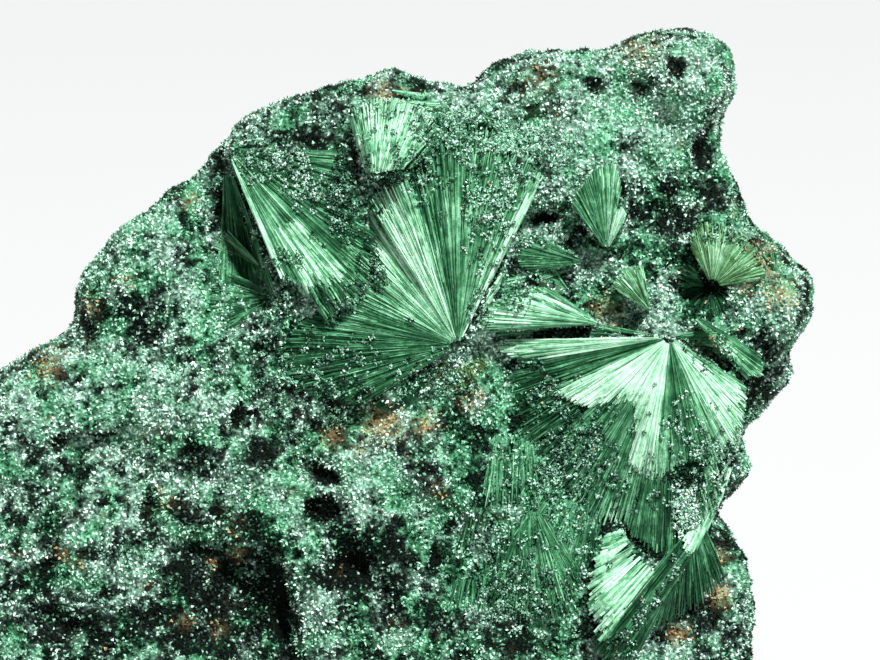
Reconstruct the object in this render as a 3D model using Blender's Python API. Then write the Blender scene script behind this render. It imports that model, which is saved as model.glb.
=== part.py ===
# Malachite hand specimen: radiating crystal sprays grown in the face of a lumpy malachite matrix.
# Metres, +Z up. It stands on a flat break at z = 0, with its display face towards -Y.
import math
import random

import bmesh
import bpy
from mathutils import Vector, noise

MM = 0.001

# Lengths below are in millimetres. Face coordinates are u to the right, v up the face and d out of it.
FACE_LEAN = math.radians(15)  # the display face leans back by this
FACE_ORIGIN = Vector((10.596, -11.196, 34.6))  # where the face's own origin stands in the part's frame
RIM_BEHIND_FACE = 9.0  # the widest outline lies this far behind the face
BACK_BEHIND_RIM = 21.0
FACE_SQUARENESS = 5.0  # how flat the face stays before it rounds over to the rim
BACK_SQUARENESS = 3.0
RIM_ROUGHNESS = 0.3  # share of the crumbly surface that reaches the outline
RELIEF_REACH = 1.6  # how soon, in from the rim, the face's relief is at its full height
LUMP_FALL = 1.3  # how steeply lumps and hollows end
LEDGE_STEP = 0.7  # over this length the ground drops at a ledge
BREAK_FLATNESS = 0.92  # 1 makes the breaks of the back dead flat
BASE_BLOCK = (200.0, 200.0, 40.0)  # what is cut away below the base
SETTING_GAP = 0.3  # between a spray and the pocket of matrix that it sits in
MATRIX_TRIANGLE_SHARE = 0.066  # of the fine lump, kept by the decimation
SPRAY_RIDGE = 0.24  # how far a spray's ridges stand above its furrows
RIDGE_PITCH = 1.1  # from ridge to ridge, along the widest rim
RAGGED_RIM = 0.07  # share of its reach that a ridge or furrow may fall short
OUTLINE_STEP = 9.0  # degrees from point to point of a pocket's outline
LONGEST_CORNER = 2.0  # sharp corners of a pocket end within this many gaps
BULGE_PLACE = 0.62  # share of the way out where a layer bulges most
CUTTER_TOP = 14.0  # pockets are open to the front as far as this

# The outline seen from the front, as (u, v), clockwise from the left. The last stretch is below the sprays.
OUTLINE = [
    (-29.8, -2.9), (-27.8, -1.3), (-25.8, -0.5), (-24.7, 0.4), (-24.8, 2.8), (-23.7, 4.6), (-21.7, 6.6),
    (-19.0, 8.5), (-16.3, 10.7), (-15.1, 12.4), (-13.5, 14.4), (-10.2, 15.8), (-6.8, 16.8), (-3.4, 17.4),
    (-0.7, 16.8), (2.0, 16.7), (3.8, 18.1), (5.8, 19.0), (8.2, 19.2), (10.9, 18.9), (13.5, 20.1),
    (17.0, 20.4), (19.5, 19.5), (20.3, 18.0), (20.1, 16.3), (19.0, 14.6), (19.2, 12.2), (20.0, 9.9),
    (21.4, 7.1), (23.4, 5.4), (25.2, 3.8), (25.4, 1.3), (23.8, -1.0), (23.7, -3.0), (22.1, -5.1),
    (20.5, -6.8), (20.7, -8.8), (20.4, -10.5), (19.2, -12.6), (20.5, -15.0), (21.2, -17.6), (21.5, -20.4),
    (21.1, -22.5), (20.2, -26.0), (18.5, -30.5), (15.0, -35.5), (4.0, -39.0), (-12.0, -40.0),
    (-28.0, -38.0), (-38.0, -33.0), (-43.5, -27.0), (-46.5, -20.0), (-46.0, -13.5), (-41.5, -8.0),
    (-35.5, -5.2),
]
OUTLINE_CENTRE = (-9.0, -7.0)

# Lumps (positive) and hollows (negative): u, v, long radius, short radius, turn in degrees, height.
RELIEF = [
    (-19.5, 4.5, 6.0, 4.5, 35, 1.4),  # lobe left of the corner spray
    (-13.8, 6.6, 6.5, 3.0, 108, -3.4),  # shaded recess under the corner spray's edge
    (8.0, 17.0, 3.6, 2.8, 10, 1.6),  # top knobs
    (16.8, 17.0, 4.2, 3.2, -10, 1.9),
    (12.2, 15.9, 2.6, 1.6, 70, -2.2),  # pits between the knobs
    (15.4, 14.4, 2.0, 1.2, 85, -1.8),
    (8.6, 11.0, 4.4, 3.4, 20, 1.5),  # pale drusy block right of the centre spray
    (6.9, 7.2, 2.4, 1.0, 5, -1.6),
    (17.6, 10.2, 4.4, 1.5, 80, -1.5),
    (13.9, 8.9, 2.2, 1.5, 90, -1.2),
    (17.2, 2.4, 2.4, 1.7, 10, -2.0),  # dark heart of the rosette
    (23.4, 1.4, 3.4, 2.6, 80, 2.3),  # right knob
    (22.3, -3.9, 3.2, 1.7, 20, -2.6),  # undercut below it
    (19.8, -17.6, 6.5, 3.2, 80, -0.8),  # lower right lobe
    (3.6, -21.0, 5.0, 4.2, 20, 2.6),  # bottom lump, nearest the viewer
    (13.5, -24.5, 6.5, 3.5, 10, 1.2),
    (-5.0, -11.4, 4.2, 3.2, 20, 1.0),
    (-9.0, -9.4, 1.8, 1.2, 30, -2.4),  # deep pits
    (-7.2, -10.9, 2.0, 1.0, 70, -1.8),
    (-19.4, -11.4, 1.6, 0.9, 80, -1.8),
    (-13.5, -18.5, 6.6, 4.4, 25, -2.6),  # black hollow with its ledge
    (-9.0, -17.0, 5.2, 2.4, 100, 1.7),  # green patch beside it
    (-4.2, -17.2, 5.6, 1.1, 118, -2.0),  # crack
    (-24.0, -14.0, 6.0, 3.6, 15, 1.6),
    (-17.0, -5.2, 7.0, 2.6, 8, 1.2),
    (-22.5, -7.4, 5.5, 1.2, 3, -1.5),
    (-31.0, -9.0, 5.5, 3.5, -20, 1.4),
    (-35.0, -20.0, 8.0, 5.0, 60, 1.8),
    (-27.0, -24.0, 6.0, 3.5, 10, -1.8),
    (-18.0, -29.0, 8.0, 4.0, -10, 1.6),
    (-2.0, -29.5, 7.0, 3.5, 15, -1.4),
]

# Ledges: u and v where each starts and ends, how far the ground on its left drops, and how soon it recovers.
LEDGES = [
    (-10.4, 0.6, -14.3, 13.6, 3.0, 8.0),  # silky edge of the corner spray's block
    (-2.6, -4.4, -13.4, -3.4, 1.5, 4.0),  # under the centre spray
    (-10.2, -14.8, -22.5, -13.4, 2.4, 6.0),  # over the black hollow
    (19.6, -9.0, 11.2, -22.5, 2.6, 7.0),  # down the blades, to the lower right lobe
    (14.0, -8.6, 6.0, -3.6, 1.2, 4.0),  # speckled recess left of the lower spray
    (-12.4, -9.6, -30.0, -6.6, 1.3, 3.5),
    (20.6, 8.4, 8.6, 9.4, 1.2, 3.5),  # under the top knobs
    (4.0, -13.6, -4.6, -7.6, 1.2, 4.5),
    (-20.5, -20.5, -40.0, -13.0, 1.4, 6.0),
    (8.0, -28.0, -16.0, -23.0, 1.6, 6.0),
]

# Crumbly surface: height of each layer of it, and the size of its lumps.
BROAD_CRUMB = (1.0, 9.0)
MIDDLE_CRUMB = (0.6, 4.0)
CREASE = (0.9, 6.5)
CREASE_WIDTH = 0.25
CELL_CRUMB = (1.2, 4.2)
CELL_MEAN = 0.42  # keeps the cells from swelling the lump

# Breaks of the back: flat planes with this facing, at this distance from the outline's centre.
BACK_BREAKS = [
    ((-0.25, 0.55, -0.80), 21.5),
    ((0.62, 0.20, -0.76), 30.0),
    ((0.30, -0.12, -0.95), 25.5),
    ((-0.70, -0.10, -0.70), 32.5),
    ((-0.30, -0.45, -0.84), 30.0),
    ((0.92, -0.22, -0.32), 32.0),
    ((0.15, 0.88, -0.45), 27.5),
    ((-0.60, 0.74, -0.30), 20.8),
]

# Each spray radiates from an apex (u, v, d). A layer of it has stations of (angle, reach, height of its
# end), the radius at which it starts, how far it bulges and the depth of its floor. Angles are
# anticlockwise from +u.
SPRAYS = {
    "centre_spray": {
        "apex": (1.2, -1.0, 0.5),
        "layers": [
            {"start": 0.3, "bulge": 0.5, "floor": -2.6,
             "stations": [(63, 12.6, 1.7), (72, 13.6, 1.2), (84, 14.6, 0.8), (98, 14.2, 0.9),
                          (103, 10.4, 1.2), (112, 10.7, 1.5), (122, 10.4, 1.0)]},
            {"start": 0.4, "bulge": 0.3, "floor": -2.9,
             "stations": [(120, 9.8, 0.2), (130, 8.4, 0.0), (142, 7.5, -0.3), (152, 7.3, -0.4), (165, 8.0, -0.6)]},
            {"start": 0.5, "bulge": 0.45, "floor": -3.2,
             "stations": [(163, 9.2, -0.9), (170, 10.6, -1.0), (182, 12.6, -1.1), (196, 11.0, -1.0),
                          (212, 7.5, -0.5)]},
        ],
    },
    "lower_spray": {
        "apex": (15.2, -0.5, 2.4),
        "layers": [
            {"start": 0.3, "bulge": 0.7, "floor": -2.8,
             "stations": [(206, 8.4, 0.3), (220, 8.8, 0.6), (234, 7.4, 1.1), (249, 6.4, 1.5), (262, 11.6, 1.0)]},
            {"start": 0.4, "bulge": 1.1, "floor": -3.4,
             "stations": [(260, 12.6, 0.9), (270, 10.6, 1.4), (284, 10.4, 1.4), (300, 9.2, 0.9),
                          (314, 7.4, 0.2), (328, 6.1, -0.5)]},
            {"start": 0.7, "bulge": 0.1, "floor": -4.0,
             "stations": [(226, 9.6, -0.9), (238, 12.4, -1.0), (250, 12.8, -0.8), (258, 12.2, -0.6),
                          (266, 14.0, -0.6), (279, 11.6, -0.9), (288, 10.2, -1.5)]},
            {"start": 0.5, "bulge": 0.2, "floor": -2.2,
             "stations": [(181, 10.8, 0.5), (186, 11.1, 0.6), (191, 8.9, 0.3), (209, 7.4, -0.2)]},
        ],
    },
    "corner_spray": {
        "apex": (-14.3, 12.2, -2.6),
        "layers": [
            {"start": 0.3, "bulge": 0.3, "floor": -4.4,
             "stations": [(293, 9.8, 0.9), (300, 11.4, 1.3), (308, 12.3, 1.5), (316, 12.0, 1.4),
                          (323, 11.0, 1.2), (332, 10.3, 1.0), (345, 8.9, 0.3), (358, 8.2, -0.6)]},
        ],
    },
    "upper_spray": {
        "apex": (-3.1, 2.7, 2.8),
        "layers": [
            {"start": 7.2, "bulge": 0.3, "floor": -1.6,
             "stations": [(81, 12.2, 0.9), (87, 12.9, 1.0), (95, 13.1, 0.9), (103, 12.6, 0.6)]},
            {"start": 7.4, "bulge": 0.1, "floor": -1.3,
             "stations": [(85, 9.6, 2.6), (93, 9.9, 2.6), (101, 9.6, 2.3)]},
        ],
    },
    "wedge_spray": {
        "apex": (10.7, 0.4, 2.0),
        "layers": [
            {"start": 0.3, "bulge": 0.3, "floor": -1.4,
             "stations": [(146, 4.3, 1.6), (158, 5.6, 1.9), (170, 7.3, 2.0), (183, 8.0, 1.6)]},
        ],
    },
    "green_spray": {
        "apex": (11.1, 5.3, 0.9),
        "layers": [
            {"start": 0.25, "bulge": 0.3, "floor": -1.7,
             "stations": [(61, 3.0, 1.7), (74, 3.4, 1.6), (84, 4.8, 1.3), (98, 4.4, 1.1), (116, 3.6, 1.0),
                          (133, 3.1, 0.8)]},
        ],
    },
    "dark_spray": {
        "apex": (9.6, 4.5, 0.9),
        "layers": [
            {"start": 0.25, "bulge": 0.3, "floor": -1.9,
             "stations": [(150, 3.8, 0.3), (163, 4.6, 0.5), (175, 4.5, 0.8), (190, 4.0, 0.4)]},
        ],
    },
    "middle_spray": {
        "apex": (14.0, 1.3, 0.4),
        "layers": [
            {"start": 0.25, "bulge": 0.3, "floor": -1.8,
             "stations": [(100, 3.0, 0.7), (120, 3.2, 0.8), (148, 3.0, 0.5)]},
        ],
    },
    "rosette": {
        "apex": (18.2, 2.9, -1.0),
        "layers": [
            {"start": 0.35, "bulge": 0.4, "floor": -3.6,
             "stations": [(8, 3.4, -1.0), (30, 3.9, -1.3), (55, 3.7, -1.4), (80, 4.2, -0.8), (104, 4.3, -0.2),
                          (120, 3.2, -0.2)]},
        ],
    },
    "right_laths": {
        "apex": (16.5, 1.2, 0.9),
        "layers": [
            {"start": 0.7, "bulge": 0.2, "floor": -3.3,
             "stations": [(312, 5.9, -0.3), (320, 6.5, -0.5), (329, 5.7, -0.7)]},
        ],
    },
    "bottom_blades": {
        "apex": (19.4, -10.0, -0.9),
        "layers": [
            {"start": 7.8, "bulge": 0.3, "floor": -3.0,
             "stations": [(204, 9.6, -0.1), (213, 10.9, 0.9), (222, 12.8, 1.5), (231, 13.6, 1.7)]},
            {"start": 0.4, "bulge": 0.5, "floor": -3.7,
             "stations": [(229, 13.9, 1.4), (235, 14.4, 1.0), (242, 14.0, 0.0)]},
        ],
    },
    "bottom_spray": {
        "apex": (6.0, -11.0, -0.4),
        "layers": [
            {"start": 0.3, "bulge": 0.5, "floor": -2.4,
             "stations": [(248, 7.6, 0.9), (262, 8.4, 1.4), (280, 8.2, 1.3), (294, 7.2, 0.8), (305, 6.2, 0.2)]},
        ],
    },
}

# Finishes: base colour and roughness.
MATRIX_FINISH = ((0.055, 0.16, 0.095, 1.0), 0.55)
SPRAY_FINISH = ((0.12, 0.46, 0.26, 1.0), 0.35)


def clear_scene():
    for obj in list(bpy.data.objects):
        bpy.data.objects.remove(obj, do_unlink=True)


def material(name, finish):
    colour, roughness = finish
    made = bpy.data.materials.new(name)
    made.use_nodes = True
    shader = made.node_tree.nodes["Principled BSDF"]
    shader.inputs["Base Color"].default_value = colour
    shader.inputs["Roughness"].default_value = roughness
    shader.inputs["Metallic"].default_value = 0.0
    made.diffuse_color = colour
    return made


def face_point(u, v, d):
    # From face coordinates in millimetres to the part's frame in metres.
    y = v * math.sin(FACE_LEAN) - d * math.cos(FACE_LEAN)
    z = v * math.cos(FACE_LEAN) + d * math.sin(FACE_LEAN)
    return (FACE_ORIGIN + Vector((u, y, z))) * MM


def new_object(name, bm, finish=None):
    bmesh.ops.recalc_face_normals(bm, faces=bm.faces)
    mesh = bpy.data.meshes.new(name)
    bm.to_mesh(mesh)
    bm.free()
    obj = bpy.data.objects.new(name, mesh)
    bpy.context.scene.collection.objects.link(obj)
    if finish:
        mesh.materials.append(finish)
    return obj


def add_boolean(obj, other, operation):
    made = obj.modifiers.new(f"{operation.lower()} {other.name}", "BOOLEAN")
    made.operation = operation
    made.object = other
    made.solver = "EXACT"
    return made


def hide_helper(obj):
    obj.hide_render = True
    obj.display_type = "WIRE"


def polar_outline():
    # The outline as (angle, u, v) about its centre, in order of angle, with its ends repeated a turn apart.
    cu, cv = OUTLINE_CENTRE
    turn = 2 * math.pi
    rays = sorted((math.atan2(v - cv, u - cu) % turn, u - cu, v - cv) for u, v in OUTLINE)
    before = (rays[-1][0] - turn, *rays[-1][1:])
    after = (rays[0][0] + turn, *rays[0][1:])
    return [before, *rays, after]


def outline_reach(rays, angle):
    # How far the outline lies from its centre in this direction.
    angle %= 2 * math.pi
    for (a0, u0, v0), (a1, u1, v1) in zip(rays, rays[1:]):
        if a0 <= angle <= a1:
            across = math.cos(angle) * (v1 - v0) - math.sin(angle) * (u1 - u0)
            return (u0 * (v1 - v0) - v0 * (u1 - u0)) / across
    raise ValueError("the outline isn't closed")


def relief(u, v):
    # Lumps and hollows of the face at this point.
    height = 0.0
    for cu, cv, long_radius, short_radius, turn, rise in RELIEF:
        a = math.radians(turn)
        along = ((u - cu) * math.cos(a) + (v - cv) * math.sin(a)) / long_radius
        across = ((v - cv) * math.cos(a) - (u - cu) * math.sin(a)) / short_radius
        square = along * along + across * across
        if square < 1.0:
            height += rise * (1.0 - square) ** LUMP_FALL
    for u0, v0, u1, v1, drop, recovery in LEDGES:
        run = Vector((u1 - u0, v1 - v0))
        offset = Vector((u - u0, v - v0))
        along = offset.dot(run) / run.length_squared
        left = (run.x * offset.y - run.y * offset.x) / run.length
        if 0.0 < along < 1.0 and left > 0.0:
            fade = math.sin(math.pi * along) ** 0.5
            step = min(1.0, left / LEDGE_STEP)
            height -= drop * fade * step * math.exp(-left / recovery)
    return height


def crumb(u, v, d):
    # Broken, lumpy surface of the matrix, as a height along the outward direction.
    place = Vector((u, v, d))
    broad = noise.noise(place / BROAD_CRUMB[1])
    middle = noise.noise(place / MIDDLE_CRUMB[1] + Vector((7.0, 3.0, 1.0)))
    valley = abs(noise.noise(place / CREASE[1] + Vector((2.0, 9.0, 4.0))))
    crease = max(0.0, 1.0 - valley / CREASE_WIDTH)
    nearest = noise.voronoi(place / CELL_CRUMB[1])[0][0]
    smooth = BROAD_CRUMB[0] * broad + MIDDLE_CRUMB[0] * middle
    return smooth - CREASE[0] * crease + CELL_CRUMB[0] * (CELL_MEAN - nearest)


def broken_back(point):
    # The point pushed back onto the flat breaks, where it stands outside one of them.
    for facing, distance in BACK_BREAKS:
        out = Vector(facing).normalized()
        beyond = point.dot(out) - distance
        if beyond > 0.0:
            point = point - out * beyond * BREAK_FLATNESS
    return point


def matrix_point(direction, rays):
    # A direction from the middle of the lump to a point on its surface, in face coordinates.
    flat = math.hypot(direction.x, direction.y)
    front = direction.z > 0
    power = FACE_SQUARENESS if front else BACK_SQUARENESS
    depth = RIM_BEHIND_FACE if front else BACK_BEHIND_RIM
    scale = (flat ** power + abs(direction.z) ** power) ** (-1.0 / power)
    angle = math.atan2(direction.y, direction.x)
    reach = outline_reach(rays, angle) * flat * scale
    u = OUTLINE_CENTRE[0] + reach * math.cos(angle)
    v = OUTLINE_CENTRE[1] + reach * math.sin(angle)
    rise = direction.z * scale
    d = rise * depth - RIM_BEHIND_FACE
    towards_front = min(1.0, max(0.0, rise * RELIEF_REACH))
    roughness = crumb(u, v, d)
    d += relief(u, v) * towards_front + roughness * direction.z
    sideways = RIM_ROUGHNESS + (1.0 - RIM_ROUGHNESS) * min(1.0, max(0.0, -rise * 2.0))
    u += roughness * direction.x * sideways
    v += roughness * direction.y * sideways
    middle = Vector((*OUTLINE_CENTRE, -RIM_BEHIND_FACE))
    place = middle + broken_back(Vector((u, v, d)) - middle)
    return face_point(*place)


def make_matrix(finish):
    rays = polar_outline()
    bm = bmesh.new()
    bmesh.ops.create_icosphere(bm, subdivisions=7, radius=1.0)
    for vert in bm.verts:
        vert.co = matrix_point(vert.co.normalized(), rays)
    obj = new_object("matrix", bm, finish)
    coarse = obj.modifiers.new("coarse facets", "DECIMATE")
    coarse.ratio = MATRIX_TRIANGLE_SHARE
    return obj


def make_base_cutter():
    # Everything below z = 0 is cut away, which leaves the flat break that the specimen stands on.
    bm = bmesh.new()
    bmesh.ops.create_cube(bm, size=1.0)
    wide, deep, high = BASE_BLOCK
    for vert in bm.verts:
        vert.co = Vector((vert.co.x * wide, vert.co.y * deep, (vert.co.z - 0.5) * high)) * MM
    cutter = new_object("base_cutter", bm)
    hide_helper(cutter)
    return cutter


def station_at(stations, angle):
    # Reach and end height of a layer in this direction.
    for (a0, reach0, lift0), (a1, reach1, lift1) in zip(stations, stations[1:]):
        if angle <= a1:
            share = max(0.0, (angle - a0) / (a1 - a0))
            return reach0 + share * (reach1 - reach0), lift0 + share * (lift1 - lift0)
    return stations[-1][1:]


def ray_point(apex, angle, reach, d):
    a = math.radians(angle)
    return face_point(apex[0] + reach * math.cos(a), apex[1] + reach * math.sin(a), d)


def layer_mesh(apex, layer, seed):
    # A ridged slab that spreads out from the apex and ends in a broken edge.
    stations = layer["stations"]
    first, last = stations[0][0], stations[-1][0]
    widest = max(reach for _, reach, _ in stations)
    arc = math.radians(last - first) * widest
    ridges = max(3, round(arc / RIDGE_PITCH))
    rng = random.Random(seed)
    bm = bmesh.new()
    rows = []
    for i in range(2 * ridges + 1):
        angle = first + (last - first) * i / (2 * ridges)
        reach, lift = station_at(stations, angle)
        reach *= rng.uniform(1.0 - RAGGED_RIM, 1.0)
        start_share = layer["start"] / reach
        ridge = SPRAY_RIDGE if i % 2 else 0.0
        start_height = apex[2] + (lift - apex[2]) * start_share
        middle = layer["start"] + (reach - layer["start"]) * BULGE_PLACE
        middle_height = start_height + (lift - start_height) * BULGE_PLACE + layer["bulge"]
        rows.append([
            bm.verts.new(ray_point(apex, angle, layer["start"], start_height + ridge * start_share)),
            bm.verts.new(ray_point(apex, angle, middle, middle_height + ridge * BULGE_PLACE)),
            bm.verts.new(ray_point(apex, angle, reach, lift + ridge)),
            bm.verts.new(ray_point(apex, angle, reach, layer["floor"])),
            bm.verts.new(ray_point(apex, angle, layer["start"], layer["floor"])),
        ])
    corners = len(rows[0])
    for row, following in zip(rows, rows[1:]):
        for k in range(corners):
            bm.faces.new((row[k], row[(k + 1) % corners], following[(k + 1) % corners], following[k]))
    bm.faces.new(rows[0])
    bm.faces.new(reversed(rows[-1]))
    bmesh.ops.triangulate(bm, faces=bm.faces)
    return bm


def layer_outline(apex, layer):
    # The layer seen from the front: its start, then its rim at every few degrees.
    stations = layer["stations"]
    first, last = stations[0][0], stations[-1][0]
    steps = max(2, math.ceil((last - first) / OUTLINE_STEP))
    even = {first + (last - first) * i / steps for i in range(steps + 1)}
    angles = sorted(even | {station[0] for station in stations})
    starts_at_apex = layer["start"] < 1.0
    inner = [(first, 0.0)] if starts_at_apex else [(last, layer["start"]), (first, layer["start"])]
    polar = [(a, station_at(stations, a)[0]) for a in angles] + inner
    return [
        (apex[0] + r * math.cos(math.radians(a)), apex[1] + r * math.sin(math.radians(a)))
        for a, r in polar
    ]


def grown(outline, by):
    # The outline moved outwards by this much, with its sharp corners cut short.
    moved = []
    for before, here, after in zip(outline[-1:] + outline[:-1], outline, outline[1:] + outline[:1]):
        into = Vector((here[0] - before[0], here[1] - before[1])).normalized()
        out = Vector((after[0] - here[0], after[1] - here[1])).normalized()
        side = Vector((into.y + out.y, -into.x - out.x)).normalized()
        square_on = side.dot(Vector((into.y, -into.x)))
        stretch = by * min(LONGEST_CORNER, 1.0 / square_on)
        moved.append((here[0] + side.x * stretch, here[1] + side.y * stretch))
    return moved


def make_pocket_cutter(name, apex, layer):
    outline = grown(layer_outline(apex, layer), SETTING_GAP)
    bm = bmesh.new()
    low = [bm.verts.new(face_point(u, v, layer["floor"] - SETTING_GAP)) for u, v in outline]
    high = [bm.verts.new(face_point(u, v, CUTTER_TOP)) for u, v in outline]
    bm.faces.new(low)
    bm.faces.new(reversed(high))
    count = len(outline)
    for i in range(count):
        bm.faces.new((low[i], high[i], high[(i + 1) % count], low[(i + 1) % count]))
    bmesh.ops.triangulate(bm, faces=bm.faces)
    cutter = new_object(name, bm)
    hide_helper(cutter)
    return cutter


def make_spray(name, spray, finish):
    # One solid from all the layers of the spray.
    apex = spray["apex"]
    first, *others = spray["layers"]
    obj = new_object(name, layer_mesh(apex, first, name), finish)
    for index, layer in enumerate(others, start=1):
        extra_name = f"{name}_layer_{index}"
        extra = new_object(extra_name, layer_mesh(apex, layer, extra_name), finish)
        hide_helper(extra)
        add_boolean(obj, extra, "UNION")


def main():
    clear_scene()
    matrix = make_matrix(material("matrix", MATRIX_FINISH))
    add_boolean(matrix, make_base_cutter(), "DIFFERENCE")
    spray_finish = material("spray", SPRAY_FINISH)
    for name, spray in SPRAYS.items():
        make_spray(name, spray, spray_finish)
        for index, layer in enumerate(spray["layers"]):
            pocket = make_pocket_cutter(f"{name}_pocket_{index}", spray["apex"], layer)
            add_boolean(matrix, pocket, "DIFFERENCE")


main()
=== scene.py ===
import math

import bpy
import numpy as np
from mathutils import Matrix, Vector, noise
from mathutils.bvhtree import BVHTree


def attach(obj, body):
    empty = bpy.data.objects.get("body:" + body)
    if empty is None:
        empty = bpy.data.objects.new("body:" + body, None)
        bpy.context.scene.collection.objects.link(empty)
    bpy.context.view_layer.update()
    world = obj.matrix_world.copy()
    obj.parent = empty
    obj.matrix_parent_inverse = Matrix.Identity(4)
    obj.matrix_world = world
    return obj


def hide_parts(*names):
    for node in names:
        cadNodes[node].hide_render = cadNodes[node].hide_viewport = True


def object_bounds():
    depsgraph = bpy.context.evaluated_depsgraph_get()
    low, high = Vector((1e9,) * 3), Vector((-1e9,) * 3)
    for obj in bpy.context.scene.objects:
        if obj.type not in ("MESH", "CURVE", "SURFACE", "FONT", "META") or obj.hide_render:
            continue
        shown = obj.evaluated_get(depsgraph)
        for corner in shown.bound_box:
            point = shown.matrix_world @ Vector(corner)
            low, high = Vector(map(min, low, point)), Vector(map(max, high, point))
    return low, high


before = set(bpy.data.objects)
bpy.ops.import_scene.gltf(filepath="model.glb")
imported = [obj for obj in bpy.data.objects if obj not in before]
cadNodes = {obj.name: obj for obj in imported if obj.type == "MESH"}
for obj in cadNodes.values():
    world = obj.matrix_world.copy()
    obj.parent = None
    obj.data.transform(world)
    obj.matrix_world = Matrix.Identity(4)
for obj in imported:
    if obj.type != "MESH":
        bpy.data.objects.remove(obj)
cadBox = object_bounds()
mm = 0.001

# The display face's own millimetres, as in the part: u to the right, v up the face, d out of it.
faceLean = math.radians(15)
faceOrigin = np.array((10.596, -11.196, 34.6))
faceRight = np.array((1.0, 0.0, 0.0))
faceUp = np.array((0.0, math.sin(faceLean), math.cos(faceLean)))
faceOut = np.array((0.0, -math.cos(faceLean), math.sin(faceLean)))

rimDepth = 8.0  # this far behind the face, in mm, its own looks have faded out
rimFade = 4.0  # and this is the depth that they fade over
grainsBehind = 9.5  # how far behind the face its crowd of small grains still goes, in mm
castFrom = 25.0  # height above the face that every cast starts at, in mm
castReach = 0.06  # length of a cast, in metres


def toPart(u, v, d):
    u, v, d = (np.asarray(x, float)[..., None] for x in (u, v, d))
    return (faceOrigin + u * faceRight + v * faceUp + d * faceOut) * mm


def toFace(points):
    away = points / mm - faceOrigin
    return away @ faceRight, away @ faceUp, away @ faceOut


def insideBox(points):
    low, high = (np.array(corner) for corner in cadBox)
    return np.clip(points, low, high)


def readPoints(mesh, key="co"):
    points = np.empty(len(mesh.vertices) * 3, np.float32)
    mesh.vertices.foreach_get(key, points)
    return points.reshape(-1, 3).astype(float)


def readTriangles(mesh):
    mesh.calc_loop_triangles()
    triangles = np.empty(len(mesh.loop_triangles) * 3, np.int32)
    mesh.loop_triangles.foreach_get("vertices", triangles)
    return triangles.reshape(-1, 3)


def unit(vectors):
    return vectors / np.linalg.norm(vectors, axis=1)[:, None]


def writePoints(mesh, points):
    mesh.vertices.foreach_set("co", points.astype(np.float32).ravel())
    mesh.update()


def meshFromArrays(name, points, faces):
    mesh = bpy.data.meshes.new(name)
    mesh.vertices.add(len(points))
    mesh.vertices.foreach_set("co", points.astype(np.float32).ravel())
    mesh.loops.add(faces.size)
    mesh.loops.foreach_set("vertex_index", faces.astype(np.int32).ravel())
    mesh.polygons.add(len(faces))
    mesh.polygons.foreach_set("loop_start", np.arange(len(faces), dtype=np.int32) * faces.shape[1])
    mesh.update(calc_edges=True)
    mesh.shade_flat()
    return mesh


def tint(mesh, tone, rust, chance, last):
    # What the materials read: light or dark green, with painted shade, sheen and glints in it, brown stain, a
    # number of its own, and, as the last, the place along a needle or how minty the crust is.
    layer = mesh.color_attributes.new("tint", "FLOAT_COLOR", "POINT")
    values = np.stack(np.broadcast_arrays(tone, rust, chance, last), axis=-1)
    layer.data.foreach_set("color", values.astype(np.float32).ravel())


def addPiece(name, mesh, material, slotName, *stands):
    piece = bpy.data.objects.new(name, mesh)
    bpy.context.scene.collection.objects.link(piece)
    mesh.materials.clear()
    mesh.materials.append(material)
    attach(piece, "root")
    if stands:
        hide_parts(*stands)
    return piece


def roughNoise(points, size, octaves, shift=0.0):
    # Fractal noise at each point, about -1 to 1, with lumps of this size in millimetres.
    places = points / (size * mm) + shift
    return np.array([noise.fractal(place, 1.0, 2.0, octaves) for place in places.tolist()])


shineTint = (0.55, 1.0, 0.72, 1.0)
crystalIor = 1.45


class Socket:
    # A node's output that reads as a number in an expression.
    def __init__(self, shade, out):
        self.shade = shade
        self.out = out

    def maths(self, operation, first, second):
        return self.shade.node("ShaderNodeMath", {"operation": operation}, {0: first, 1: second})

    def __add__(self, other):
        return self.maths("ADD", self, other)

    def __sub__(self, other):
        return self.maths("SUBTRACT", self, other)

    def __mul__(self, other):
        return self.maths("MULTIPLY", self, other)

    __radd__ = __add__


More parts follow.
